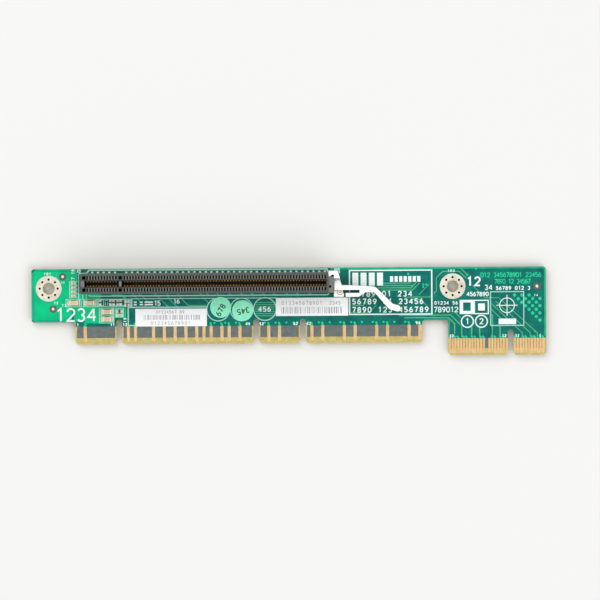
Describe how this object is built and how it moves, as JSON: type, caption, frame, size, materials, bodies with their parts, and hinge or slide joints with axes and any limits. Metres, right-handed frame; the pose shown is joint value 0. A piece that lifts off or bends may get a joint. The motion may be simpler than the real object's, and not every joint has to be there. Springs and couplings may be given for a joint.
{
  "type": "pcie riser card",
  "caption": "Flat server riser card with two keyed edge tabs, a long black expansion slot on its face and a sprung white card latch.",
  "frame": {"origin": "middle of the bounding box at its lowest face, where the pegs of the slot end", "axes": "+X along the board towards the narrow tab, +Y towards the long edge beside the slot, +Z out of the mouth of the slot"},
  "size_m": [0.1816, 0.0312, 0.0143],
  "materials": {
    "laminate": "green solder mask over glass laminate",
    "gold": "thin gold plating",
    "tin": "tinned copper",
    "housing": "black moulded thermoplastic",
    "contact": "plated bronze spring strip",
    "hold_down": "dull metal tab",
    "latch": "white moulded nylon",
    "ceramic": "tan chip ceramic",
    "dark_ceramic": "grey chip ceramic",
    "label": "white coated label",
    "sticker": "pale green round sticker"
  },
  "bodies": {
    "card": {"circuit_board": "laminate", "wide_fingers_front": "gold", "wide_fingers_back": "gold", "narrow_fingers_front": "gold", "narrow_fingers_back": "gold", "mount_ring_left": "tin", "mount_ring_right": "tin", "fiducial_dots": "tin", "slot_housing": "housing", "hold_down_tab": "hold_down", "slot_contacts_upper": "contact", "slot_contacts_lower": "contact", "solder_joints": "tin", "latch_base": "latch", "capacitor_1_body": "ceramic", "capacitor_1_ends": "tin", "capacitor_2_body": "ceramic", "capacitor_2_ends": "tin", "capacitor_3_body": "ceramic", "capacitor_3_ends": "tin", "capacitor_4_body": "ceramic", "capacitor_4_ends": "tin", "small_chip_bodies": "dark_ceramic", "small_chip_ends": "tin", "label_left": "label", "label_right": "label", "sticker_left": "sticker", "sticker_right": "sticker"},
    "lever": {"latch_lever": "latch"}
  },
  "joints": [
    {"name": "latch_pivot", "type": "hinge", "parent": "card", "child": "lever", "pos_m": [0.018, 0.00727, 0.00907], "axis": [0, 0, -1], "range_deg": [0, 18], "stiffness_Nm_per_rad": 0.03, "springref_deg": -5.73}
  ]
}
